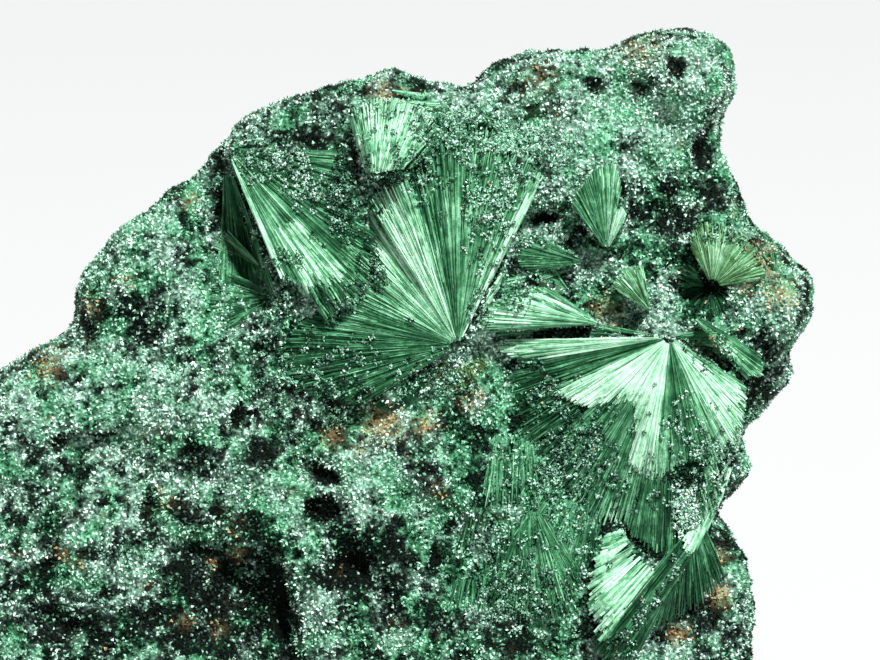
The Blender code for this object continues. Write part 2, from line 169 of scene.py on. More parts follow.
class Shade:
    # A material whose nodes are made one by one.
    def __init__(self, name, shine=0.5):
        self.material = bpy.data.materials.new(name)
        self.material.use_nodes = True
        self.tree = self.material.node_tree
        self.shader = self.tree.nodes["Principled BSDF"]
        self.shader.inputs["IOR"].default_value = crystalIor
        self.shader.inputs["Specular IOR Level"].default_value = shine
        self.shader.inputs["Specular Tint"].default_value = shineTint

    def node(self, kind, settings=None, sockets=None, output=0):
        made = self.tree.nodes.new(kind)
        for key, value in (settings or {}).items():
            if key == "stops":
                self.setStops(made.color_ramp, value)
            else:
                setattr(made, key, value)
        for key, value in (sockets or {}).items():
            self.feed(made.inputs[key], value)
        return Socket(self, made.outputs[output])

    def setStops(self, ramp, stops):
        while len(ramp.elements) < len(stops):
            ramp.elements.new(0.5)
        for element, (place, colour) in zip(ramp.elements, stops):
            element.position = place
            element.color = (*colour, 1.0)

    def feed(self, socket, value):
        if isinstance(value, Socket):
            self.tree.links.new(value.out, socket)
        else:
            socket.default_value = value

    def finish(self, **sockets):
        for key, value in sockets.items():
            self.feed(self.shader.inputs[key.replace("_", " ")], value)
        return self.material

    def readTint(self):
        looks = self.node("ShaderNodeAttribute", {"attribute_name": "tint"})
        parts = self.node("ShaderNodeSeparateColor", None, {0: looks}).out.node.outputs
        return (*(Socket(self, out) for out in parts), Socket(self, looks.out.node.outputs["Alpha"]))

    def varied(self, tone, *signals):
        # The tone made lighter or darker by each signal, which is about 0.5, times its strength.
        for signal, strength in signals:
            tone = tone + (signal - 0.5) * strength
        return tone

    def noise(self, place, scale, detail=3.0, rough=0.6):
        return self.node("ShaderNodeTexNoise", {"noise_dimensions": "3D"},
                         {"Vector": place, "Scale": scale, "Detail": detail, "Roughness": rough})


drusePaint = {
    "emerald": [
        (0.00, (0.0006, 0.0022, 0.0014)), (0.25, (0.003, 0.018, 0.008)), (0.42, (0.024, 0.096, 0.045)),
        (0.58, (0.062, 0.24, 0.120)), (0.74, (0.145, 0.43, 0.25)), (0.88, (0.33, 0.68, 0.47)),
        (1.00, (0.58, 0.88, 0.68)),
    ],
    "mint": [
        (0.00, (0.0014, 0.0014, 0.0014)), (0.25, (0.008, 0.010, 0.009)), (0.42, (0.036, 0.060, 0.048)),
        (0.58, (0.115, 0.22, 0.16)), (0.74, (0.30, 0.53, 0.41)), (0.88, (0.62, 0.84, 0.71)),
        (1.00, (0.93, 0.98, 0.94)),
    ],
    "rust": (0.38, 0.21, 0.08),
    "paleRust": (0.62, 0.50, 0.26),
    "scales": {"speckle": 3600.0, "mottle": 900.0, "cells": 4200.0},
    "inTone": {"speckle": 0.7, "mottle": 0.6},
    "inStain": {"speckle": 0.6, "mottle": 1.6},
    "bumpDepth": 0.0002,
    "bumpSpeckle": 0.6,
    "matt": 2.4,  # the larger this is, the fewer crystals are glossy
}
needlePaint = {
    "stops": [
        (0.00, (0.001, 0.007, 0.003)), (0.25, (0.007, 0.040, 0.017)), (0.42, (0.024, 0.115, 0.048)),
        (0.58, (0.084, 0.295, 0.140)), (0.74, (0.27, 0.57, 0.36)), (0.88, (0.51, 0.78, 0.59)),
        (1.00, (0.64, 0.86, 0.70)),
    ],
    "old": (0.30, 0.30, 0.06),
    "scales": {"patch": 420.0, "fine": 3000.0},
    "ownWay": {"X": 90.0, "Y": 3.5},  # how far apart two needles' painted glints are, and how often one changes
    "lighter": 0.02,
    "inTone": {"chance": 0.34, "patch": 0.6, "fine": 0.3, "paintedGlint": 0.6},
    "bump": 0.25,
    "bumpDepth": 0.0001,
    "roughness": 0.30,
    "roughPatch": 0.22,
}


def drusePaintedMaterial(name, shine, roughness, spread, grit):
    shade = Shade(name, shine)
    place = shade.node("ShaderNodeTexCoord", output=3)
    tone, rust, chance, minty = shade.readTint()
    scales, inTone, inStain = (drusePaint[key] for key in ("scales", "inTone", "inStain"))
    speckle = shade.noise(place, scales["speckle"], detail=2.0)
    mottle = shade.noise(place, scales["mottle"], detail=4.0)
    shown = shade.varied(tone, (speckle, inTone["speckle"]), (mottle, inTone["mottle"]))
    emerald = shade.node("ShaderNodeValToRGB", {"stops": drusePaint["emerald"]}, {"Fac": shown})
    mint = shade.node("ShaderNodeValToRGB", {"stops": drusePaint["mint"]}, {"Fac": shown})
    green = shade.node("ShaderNodeMix", {"data_type": "RGBA"}, {0: minty, 6: emerald, 7: mint}, output=2)
    rustColour, paleColour = ((*drusePaint[key], 1.0) for key in ("rust", "paleRust"))
    brown = shade.node("ShaderNodeMix", {"data_type": "RGBA"},
                       {0: chance, 6: rustColour, 7: paleColour}, output=2)
    stain = shade.node("ShaderNodeMath", {"operation": "MULTIPLY", "use_clamp": True},
                       {0: rust, 1: mottle * inStain["mottle"] + speckle * inStain["speckle"]})
    colour = shade.node("ShaderNodeMix", {"data_type": "RGBA"}, {0: stain, 6: green, 7: brown}, output=2)
    cells = shade.node("ShaderNodeTexVoronoi", {"feature": "F1"}, {"Vector": place, "Scale": scales["cells"]})
    height = cells + speckle * drusePaint["bumpSpeckle"]
    bump = shade.node("ShaderNodeBump", None,
                      {"Strength": grit, "Distance": drusePaint["bumpDepth"], "Height": height})
    matt = shade.node("ShaderNodeMath", {"operation": "MINIMUM"}, {0: chance * drusePaint["matt"], 1: 1.0})
    return shade.finish(Base_Color=colour, Roughness=matt * spread + roughness, Normal=bump)


def needlePaintedMaterial(name):
    shade = Shade(name)
    place = shade.node("ShaderNodeTexCoord", output=3)
    tone, rust, chance, along = shade.readTint()
    scales, ownWay, inTone = (needlePaint[key] for key in ("scales", "ownWay", "inTone"))
    patch = shade.noise(place, scales["patch"], detail=3.0)
    fine = shade.noise(place, scales["fine"], detail=2.0)
    # A noise along each needle paints broken light and dark streaks on it: painted glints.
    paintedGlintPlace = shade.node("ShaderNodeCombineXYZ", None,
                            {"X": chance * ownWay["X"], "Y": along * ownWay["Y"]})
    paintedGlint = shade.noise(paintedGlintPlace, 1.0, detail=3.0, rough=0.7)
    shown = shade.varied(tone + needlePaint["lighter"], (chance, inTone["chance"]), (patch, inTone["patch"]),
                         (fine, inTone["fine"]), (paintedGlint, inTone["paintedGlint"]))
    green = shade.node("ShaderNodeValToRGB", {"stops": needlePaint["stops"]}, {"Fac": shown})
    colour = shade.node("ShaderNodeMix", {"data_type": "RGBA"},
                        {0: rust, 6: green, 7: (*needlePaint["old"], 1.0)}, output=2)
    bump = shade.node("ShaderNodeBump", None, {
        "Strength": needlePaint["bump"], "Distance": needlePaint["bumpDepth"], "Height": fine})
    roughness = needlePaint["roughness"] + patch * needlePaint["roughPatch"]
    return shade.finish(Base_Color=colour, Roughness=roughness, Normal=bump)


rockMaterial = drusePaintedMaterial("velvetRock", shine=0.15, roughness=0.7, spread=0.0, grit=0.8)
grainMaterial = drusePaintedMaterial("drusyGrains", shine=0.3, roughness=0.12, spread=0.48, grit=0.15)
needleMaterial = needlePaintedMaterial("silkyNeedles")
print("materials ready")


# Where the light, dark, green and brown places of the crust are, and its pits and ridges, on the face in mm.
# Some dark places are painted shade.
crustPaint = {
    "middle": 0.655,
    "waves": [  # strength, size in mm, octaves, shift
        (0.34, 5.5, 3, 0.0), (0.50, 1.8, 2, 40.0), (0.54, 0.66, 1, 70.0), (0.58, 0.34, 1, 110.0),
    ],
    "paintedPitShade": 1.1,
    "minty": {"middle": 0.68, "strength": 1.3, "size": 2.2, "octaves": 2, "shift": 20.0},
    "darkMinty": {"below": 0.25, "most": 0.3, "strength": 2.0},  # the darkest crust is grey, not green
    "oldStain": {  # all over the back, and faint on the face
        "size": 2.4, "octaves": 3, "shift": 90.0, "strength": 2.6, "less": 1.4, "most": 0.5, "onFace": 0.8},
    # The darker ovals that sit on pits, and those in the recess left of the corner spray at (-12.8, 7.0) and
    # in the undercut under the right knob at (21.6, -4.2), are painted shade.
    "tonesAndPaintedLight": [  # u, v, long radius, short radius, turn, how much lighter
        (-15.8, -18.8, 5.6, 3.4, 0, -0.58),
        (-22.8, -19.8, 4.5, 2.2, 0, -0.35),
        (-10.8, -18.2, 0.9, 4.0, 6, -0.5),
        (-8.6, -17.8, 1.6, 4.8, 8, 0.42),
        (-21.8, -16.6, 4.0, 1.5, 28, 0.34),
        (-20.6, -12.8, 1.2, 2.0, 0, 0.16),
        (-14.4, -10.4, 2.6, 1.2, 0, 0.26),
        (-19.8, -4.0, 4.4, 2.8, -20, 0.34),
        (-26.5, -8.0, 3.4, 2.8, 0, 0.1),
        (-14.0, -12.6, 3.6, 1.4, 0, -0.28),
        (-4.7, -10.3, 2.6, 1.9, -10, 0.58),
        (-6.2, -16.2, 1.7, 1.8, 0, -0.5),
        (-5.0, -13.8, 3.0, 1.0, -25, -0.3),
        (0.5, -17.5, 4.4, 4.6, 0, -0.18),
        (8.4, -19.8, 2.0, 3.4, 0, 0.1),
        (-12.8, 7.0, 1.5, 5.2, 17, -0.42),
        (-18.5, 4.6, 4.0, 3.6, 0, 0.12),
        (-20.6, 0.6, 5.0, 2.2, 20, -0.08),
        (-4.0, 12.6, 3.6, 1.6, 0, -0.1),
        (2.6, 12.9, 3.6, 2.0, -10, 0.3),
        (8.6, 13.2, 2.8, 2.8, 10, 0.3),
        (8.0, 9.0, 2.4, 2.0, 0, 0.1),
        (14.5, 17.0, 5.0, 2.6, 0, 0.4),
        (14.0, 12.6, 4.0, 2.4, 0, 0.28),
        (11.0, 15.4, 8.0, 3.4, 8, 0.12),
        (10.3, 16.4, 1.2, 1.0, 0, -0.4),
        (13.5, 16.2, 1.2, 1.2, 0, -0.45),
        (15.8, 17.4, 0.7, 1.3, 0, -0.5),
        (18.8, 18.2, 2.0, 1.2, 0, 0.25),
        (17.8, 10.8, 1.4, 3.0, 0, -0.25),
        (14.2, 9.4, 2.0, 2.6, 0, -0.1),
        (14.6, 5.4, 2.2, 2.4, 0, -0.1),
        (17.4, 2.8, 1.6, 1.3, 0, -0.7),
        (22.5, 0.0, 1.6, 2.6, 0, 0.1),
        (21.6, -4.2, 1.8, 2.0, 30, -0.5),
        (15.2, 9.8, 2.4, 2.2, 0, 0.16),
        (18.6, -17.6, 2.6, 5.0, 0, -0.3),
        (20.3, -13.0, 2.0, 2.4, 0, -0.4),
        (-6.5, 15.2, 7.0, 1.4, 12, -0.06),
        (-9.8, 13.0, 3.2, 0.6, -6, -0.4),
        (2.0, -7.0, 6.0, 2.4, 0, -0.04),
        (3.8, -9.0, 2.6, 3.2, 0, 0.12),
    ],
    "greens": [  # the same places, and how much less minty
        (4.5, -9.5, 5.0, 4.5, 0, 0.9), (5.0, -17.0, 5.0, 4.0, 0, 0.5), (-11.0, -1.0, 4.0, 2.5, 0, 0.4),
        (12.0, 3.0, 3.0, 2.0, 0, 0.4),
    ],
    "stains": [  # u, v, radius, strength
        (6.6, 16.6, 1.0, 0.3), (13.4, 18.7, 1.2, 0.4), (-3.9, 16.0, 0.7, 0.5), (-16.8, 8.7, 0.5, 0.5),
        (-21.1, 3.4, 0.5, 0.5), (-23.5, 1.7, 0.6, 0.5), (-26.2, -2.3, 0.9, 0.6), (21.3, 4.4, 1.3, 0.8),
        (22.8, 2.4, 0.9, 0.7), (20.5, 3.1, 0.7, 0.5), (17.8, -0.8, 0.8, 0.5), (11.2, 1.2, 0.9, 0.7),
        (-3.7, -6.1, 1.1, 1.0), (-7.2, -7.1, 0.6, 0.8), (-1.0, -6.3, 0.7, 0.7), (-5.4, -8.0, 0.5, 0.5),
        (2.2, -4.6, 0.8, 0.4), (-0.1, -10.8, 0.5, 0.6), (-13.6, -15.0, 0.45, 1.0),
        (-15.2, -15.8, 0.3, 0.9), (-25.1, -15.0, 0.4, 0.7), (-24.1, -15.5, 0.4, 0.7),
        (-17.1, -19.5, 0.45, 0.6), (-14.9, -20.1, 0.4, 0.6), (-18.4, -11.4, 0.6, 0.4),
        (18.9, -15.4, 0.6, 1.0), (18.9, -17.9, 0.6, 1.0), (16.0, -20.4, 0.6, 1.0),
    ],
    "pits": [  # u, v, long radius, short radius, turn, depth
        (-13.5, -5.9, 1.1, 0.45, 80, 1.0), (-12.4, -5.6, 0.7, 0.4, 0, 0.8),
        (-7.7, -9.8, 1.1, 0.6, -20, 1.2), (-7.9, -11.9, 1.5, 0.9, 6, 1.8),
        (-19.6, -12.3, 1.2, 0.5, 82, 1.1), (-6.1, -15.8, 1.6, 1.2, 30, 1.1),
        (-10.7, -18.6, 3.2, 0.6, 96, 0.9), (-26.2, -15.9, 0.9, 0.6, 80, 0.8),
        (-24.8, -19.9, 1.2, 0.5, 10, 0.7), (-21.0, -3.7, 2.6, 0.3, 6, 0.5),
        (15.8, 17.4, 0.9, 0.5, 80, 0.8), (13.6, 16.2, 0.9, 0.6, 0, 0.6), (10.4, 16.4, 0.9, 0.5, -20, 0.6),
        (17.4, 3.0, 1.0, 0.8, 0, 0.7), (11.9, 9.8, 0.9, 0.35, 110, 0.7), (-0.4, -15.5, 1.2, 0.5, 60, 0.7),
        (-16.4, -8.0, 0.9, 0.4, 20, 0.6), (-23.6, -9.4, 0.8, 0.4, -10, 0.6),
        (7.1, 7.5, 1.2, 0.32, 0, 0.9), (17.4, 11.6, 1.4, 0.4, 96, 0.6), (-9.6, -14.9, 1.0, 0.4, -30, 0.6),
    ],
    "ridges": [  # the same, but raised
        (-5.9, 10.6, 3.4, 0.8, 100, 0.7), (-4.9, 7.4, 1.2, 0.8, 0, 0.5), (-2.0, 8.6, 1.2, 0.5, 40, 0.4),
        (6.3, 4.0, 2.6, 0.5, 62, 0.6), (-4.7, -10.3, 2.4, 1.7, -10, 0.5), (-8.7, -18.0, 1.2, 4.0, 8, 0.5),
    ],
}


def ovals(u, v, rows):
    # How near each place is to the middle of each oval, 1 there and 0 far away, with the oval's last number.
    for cu, cv, along, across, turn, amount in rows:
        a = math.radians(turn)
        x = ((u - cu) * math.cos(a) + (v - cv) * math.sin(a)) / along
        y = ((v - cv) * math.cos(a) - (u - cu) * math.sin(a)) / across
        yield np.exp(-(x * x + y * y)), amount


def frontness(d):
    return np.clip((d + rimDepth) / rimFade, 0.0, 1.0)


def onFace(u, v, d, rows):
    return sum(near ** 2 * amount for near, amount in ovals(u, v, rows)) * frontness(d)


def paintCrust(points):
    # Tone, brown stain and mintiness of the crust at these points. The tone is darkened in the pits and some
    # recesses as painted shade.
    u, v, d = toFace(points)
    front = frontness(d)
    tone = crustPaint["middle"] + sum(
        strength * roughNoise(points, *wave) for strength, *wave in crustPaint["waves"])
    for near, lighter in ovals(u, v, crustPaint["tonesAndPaintedLight"]):
        tone += lighter * near * front
    # The crust is darkened in its pits: painted shade.
    tone -= onFace(u, v, d, crustPaint["pits"]) * crustPaint["paintedPitShade"]
    rust = np.zeros(len(points))
    for cu, cv, radius, amount in crustPaint["stains"]:
        near = np.exp(-((u - cu) ** 2 + (v - cv) ** 2) / radius ** 2)
        rust = np.maximum(rust, amount * near * front)
    old, mild, dark = (crustPaint[key] for key in ("oldStain", "minty", "darkMinty"))
    worn = roughNoise(points, old["size"], old["octaves"], old["shift"]) * old["strength"] - old["less"]
    rust = np.maximum(rust, np.clip(worn, 0.0, old["most"]) * (1.0 - front * old["onFace"]))
    minty = roughNoise(points, mild["size"], mild["octaves"], mild["shift"])
    minty = mild["middle"] + mild["strength"] * minty
    minty = minty + dark["strength"] * np.clip(dark["below"] - tone, 0.0, dark["most"])
    for near, greener in ovals(u, v, crustPaint["greens"]):
        minty -= near * greener
    return tone, rust, np.clip(minty, 0.0, 1.0)


rockFacts = {
    "voxel": 0.4,
    "smoothing": 6,
    "smoothFactor": 0.5,
    "lumps": [(0.34, 2.6, 3), (0.20, 1.0, 3)],  # height, size in mm, octaves
    "underWithin": 1.0,  # a point this far below a spray's surface, in mm, is under its needles
    "belowNeedles": 0.22,
    "flatFor": 0.5,  # mm above the base that stay as they are
    "coveredFacing": 0.55,
    "coveredTone": 0.25,
    "darker": 0.18,  # than the grains on it
    "lightest": 0.60,
    "stain": 0.4,
}


def castDown(tree, u, v):
    # Depth d of the first surface met from the front at each (u, v), or NaN.
    start = toPart(u, v, np.full(np.shape(u), castFrom)).reshape(-1, 3)
    into = Vector(-faceOut)
    depths = np.full(len(start), np.nan)
    for i, place in enumerate(start.tolist()):
        hit = tree.ray_cast(place, into, castReach)
        if hit[0] is not None:
            depths[i] = castFrom - hit[3] / mm
    return depths.reshape(np.shape(u))


def treeOf(pieces):
    points, faces, count = [], [], 0
    for piece in pieces:
        mesh = piece.data
        points.append(readPoints(mesh))
        faces.append(readTriangles(mesh) + count)
        count += len(mesh.vertices)
    return BVHTree.FromPolygons(np.concatenate(points).tolist(), np.concatenate(faces).tolist())


sprayTree = treeOf([node for name, node in cadNodes.items() if name != "matrix"])
faceTree = treeOf(cadNodes.values())


def growTogether():
    # All the CAD solids joined, made into one skin and smoothed.
    bpy.ops.object.select_all(action="DESELECT")
    copies = []
    for node in cadNodes.values():
        copy = bpy.data.objects.new("rockSource", node.data.copy())
        bpy.context.scene.collection.objects.link(copy)
        copy.select_set(True)
        copies.append(copy)
    bpy.context.view_layer.objects.active = copies[0]
    bpy.ops.object.join()
    rock = bpy.context.view_layer.objects.active
    bpy.ops.object.mode_set(mode="EDIT")
    bpy.ops.mesh.select_all(action="SELECT")
    bpy.ops.mesh.remove_doubles(threshold=1e-6)
    bpy.ops.object.mode_set(mode="OBJECT")
    remesh = rock.modifiers.new("grow together", "REMESH")
    remesh.mode = "VOXEL"
    remesh.voxel_size = rockFacts["voxel"] * mm
    bpy.ops.object.modifier_apply(modifier=remesh.name)
    smooth = rock.modifiers.new("wear", "SMOOTH")
    smooth.factor = rockFacts["smoothFactor"]
    smooth.iterations = rockFacts["smoothing"]
    bpy.ops.object.modifier_apply(modifier=smooth.name)
    return rock


def buildRock():
    # The grown mass is roughened, and sunk under the sprays to leave room for their needles.
    rock = growTogether()
    mesh = rock.data
    points = readPoints(mesh)
    normals = readPoints(mesh, "normal")
    u, v, d = toFace(points)
    ahead = np.nonzero(d > -rimDepth)[0]
    cover = np.full(len(points), np.nan)
    cover[ahead] = castDown(sprayTree, u[ahead], v[ahead])
    underSpray = np.nan_to_num(cover - d, nan=np.inf) < rockFacts["underWithin"]
    lift = sum(
        height * roughNoise(points, size, octaves, size) for height, size, octaves in rockFacts["lumps"])
    base = np.clip(points[:, 2] / (rockFacts["flatFor"] * mm), 0.0, 1.0)
    lift += onFace(u, v, d, crustPaint["ridges"]) - onFace(u, v, d, crustPaint["pits"])
    lift = np.where(underSpray, 0.0, lift) * np.where(base < 1.0, 0.0, 1.0)
    points += normals * (lift * mm)[:, None]
    sink = np.where(underSpray, np.minimum(cover - rockFacts["belowNeedles"] - d, 0.0), 0.0)
    points += (sink * mm)[:, None] * faceOut
    points[:, 2] = np.maximum(points[:, 2], 0.0)
    writePoints(mesh, insideBox(points))
    bpy.ops.object.shade_smooth()
    tone, rust, minty = paintCrust(points)
    covered = underSpray & (normals @ faceOut > rockFacts["coveredFacing"])
    bare = np.minimum(tone - rockFacts["darker"], rockFacts["lightest"])
    tone = np.where(covered, rockFacts["coveredTone"], bare)
    tint(mesh, tone, rust * rockFacts["stain"], 0.5, np.where(covered, 0.0, minty))
    rock.name = mesh.name = "rock"
    mesh.materials.clear()
    mesh.materials.append(rockMaterial)
    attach(rock, "root")
    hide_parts("matrix")
    return rock, covered


rock, covered = buildRock()
print("rock:", len(rock.data.polygons), "faces")


grainFacts = {
    "seed": 5,
    "front": 18.0,  # grains to the square millimetre
    "back": 2.2,
    "radius": (0.055, 0.165),
    "length": (0.12, 0.38),
    "darkest": 0.20,
    "lightest": 0.80,
    "contrast": 0.50,
    "paintedGlints": 0.07,  # share of grains made much lighter: painted glints
    "paintedGlintTone": 0.76,
    "perPiece": 31000,
    "facing": -0.1,  # least that a front face is turned to the front
    "aboveFloor": 0.4,
    "pitThinning": 1.2,
    "fewestInPits": 0.2,
    "smallest": 0.5,  # size of a front grain that is seen from its side, as a share
    "tilt": 0.55,
    "root": 0.35,  # share of its length that a grain is sunk by, and that its widest ring is raised by
    "widest": 0.25,
    "mintySpread": 0.25,
    "stained": 0.75,
}
grainCorners = 5


def scatterOn(mesh, rng):
    # Places and directions for the grains, sorted from left to right.
    triangles = readTriangles(mesh)
    points = readPoints(mesh)
    normals = readPoints(mesh, "normal")
    a, b, c = (points[triangles[:, i]] for i in range(3))
    crossed = np.cross(b - a, c - a)
    area = np.linalg.norm(crossed, axis=1) / 2 / mm ** 2
    facing = crossed / np.maximum(np.linalg.norm(crossed, axis=1), 1e-20)[:, None]
    middle = (a + b + c) / 3
    u, v, d = toFace(middle)
    towards = facing @ faceOut
    seen = (towards > grainFacts["facing"]) & (d > -grainsBehind)
    density = np.where(seen, grainFacts["front"], grainFacts["back"])
    clear = covered[triangles].all(axis=1) | (middle[:, 2] < grainFacts["aboveFloor"] * mm)
    density = np.where(clear, 0.0, density)
    share = 1.0 - grainFacts["pitThinning"] * onFace(u, v, d, crustPaint["pits"])
    density = density * np.clip(share, grainFacts["fewestInPits"], 1.0)
    expected = area * density
    count = np.floor(expected + rng.random(len(expected))).astype(int)
    chosen = np.repeat(np.arange(len(triangles)), count)
    w = rng.random((len(chosen), 2))
    w = np.where((w.sum(axis=1) > 1)[:, None], 1 - w, w)
    w0 = 1 - w.sum(axis=1)
    corners = triangles[chosen]
    weights = np.stack((w0, w[:, 0], w[:, 1]), axis=1)[..., None]
    place = (points[corners] * weights).sum(axis=1)
    normal = unit((normals[corners] * weights).sum(axis=1))
    order = np.argsort(toFace(place)[0])
    return place[order], normal[order]


def grainMesh(name, place, normal, rng, facts, tone=None, minty=None):
    # Each grain is a crystal with three sides and a point at each end. Without a tone it has the crust's.
    count = len(place)
    towards = np.clip(normal @ faceOut, 0.0, 1.0)
    smallest = grainFacts["smallest"]
    size = np.where(toFace(place)[2] > -grainsBehind, smallest + (1.0 - smallest) * towards, 1.0) * mm
    axis = unit(normal + rng.normal(size=(count, 3)) * grainFacts["tilt"])
    side = unit(np.cross(axis, rng.normal(size=(count, 3))))
    other = np.cross(axis, side)
    radius = rng.uniform(*facts["radius"], count) * size
    length = rng.uniform(*facts["length"], count) * size
    corners = np.empty((count, grainCorners, 3))
    corners[:, 0] = place + axis * length[:, None]
    corners[:, 1] = place - axis * (length * grainFacts["root"])[:, None]
    for k in range(3):
        turn = 2 * math.pi * k / 3
        out = side * math.cos(turn) + other * math.sin(turn)
        corners[:, 2 + k] = place + out * radius[:, None] + axis * (length * grainFacts["widest"])[:, None]
    pattern = np.array([(0, 2, 3), (0, 3, 4), (0, 4, 2), (1, 3, 2), (1, 4, 3), (1, 2, 4)])
    faces = (np.arange(count)[:, None, None] * grainCorners + pattern).reshape(-1, 3)
    mesh = meshFromArrays(name, insideBox(corners.reshape(-1, 3)), faces)
    crustTone, rust, crustMinty = paintCrust(place)
    chance = rng.random(count)
    tone = np.clip(crustTone if tone is None else tone, grainFacts["darkest"], grainFacts["lightest"])
    tone = tone + (chance - 0.5) * grainFacts["contrast"]
    # Some grains are set light whatever their place: painted glints.
    tone = np.where(rng.random(count) < grainFacts["paintedGlints"], np.maximum(tone, grainFacts["paintedGlintTone"]), tone)
    minty = (crustMinty if minty is None else minty) + rng.normal(0, grainFacts["mintySpread"], count)
    stained = np.where(rng.random(count) < rust * grainFacts["stained"], 1.0, 0.0)
    looks = (tone, stained, rng.random(count), np.clip(minty, 0.0, 1.0))
    tint(mesh, *(np.repeat(value, grainCorners) for value in looks))
    return mesh


rng = np.random.default_rng(grainFacts["seed"])
grainPlace, grainNormal = scatterOn(rock.data, rng)
grainPieces = math.ceil(len(grainPlace) / grainFacts["perPiece"])
for number, index in enumerate(np.array_split(np.arange(len(grainPlace)), grainPieces)):
    name = f"grains{number + 1}"
    mesh = grainMesh(name, grainPlace[index], grainNormal[index], rng, grainFacts)
    addPiece(name, mesh, grainMaterial, "matrix")
print("grains:", len(grainPlace), "in", grainPieces, "pieces")


needleFacts = {
    "crowd": 1.6,  # needles drawn for each one counted in a fan
    "fineness": 0.74,  # their width, as a share of the fan's
    "stops": (0.0, 0.35, 0.7, 1.0),  # stations along a needle
    "taper": (0.45, 0.8, 1.0, 0.7),
    "steepest": 0.35,  # most that a needle drops for each mm of its length
    "flatness": 0.8,  # height of a needle over its width
    "late": (2.2, 0.7),  # how few needles start late, and how late the last one does
    "early": 1.6,  # how few end early
    "ends": (0.99, 1.03),
    "shortest": 0.5,
    "waver": 0.012,
    "heights": 0.07,
    "widths": (0.6, 1.4),
    "roll": 0.35,
    "firstSeed": 100,
}
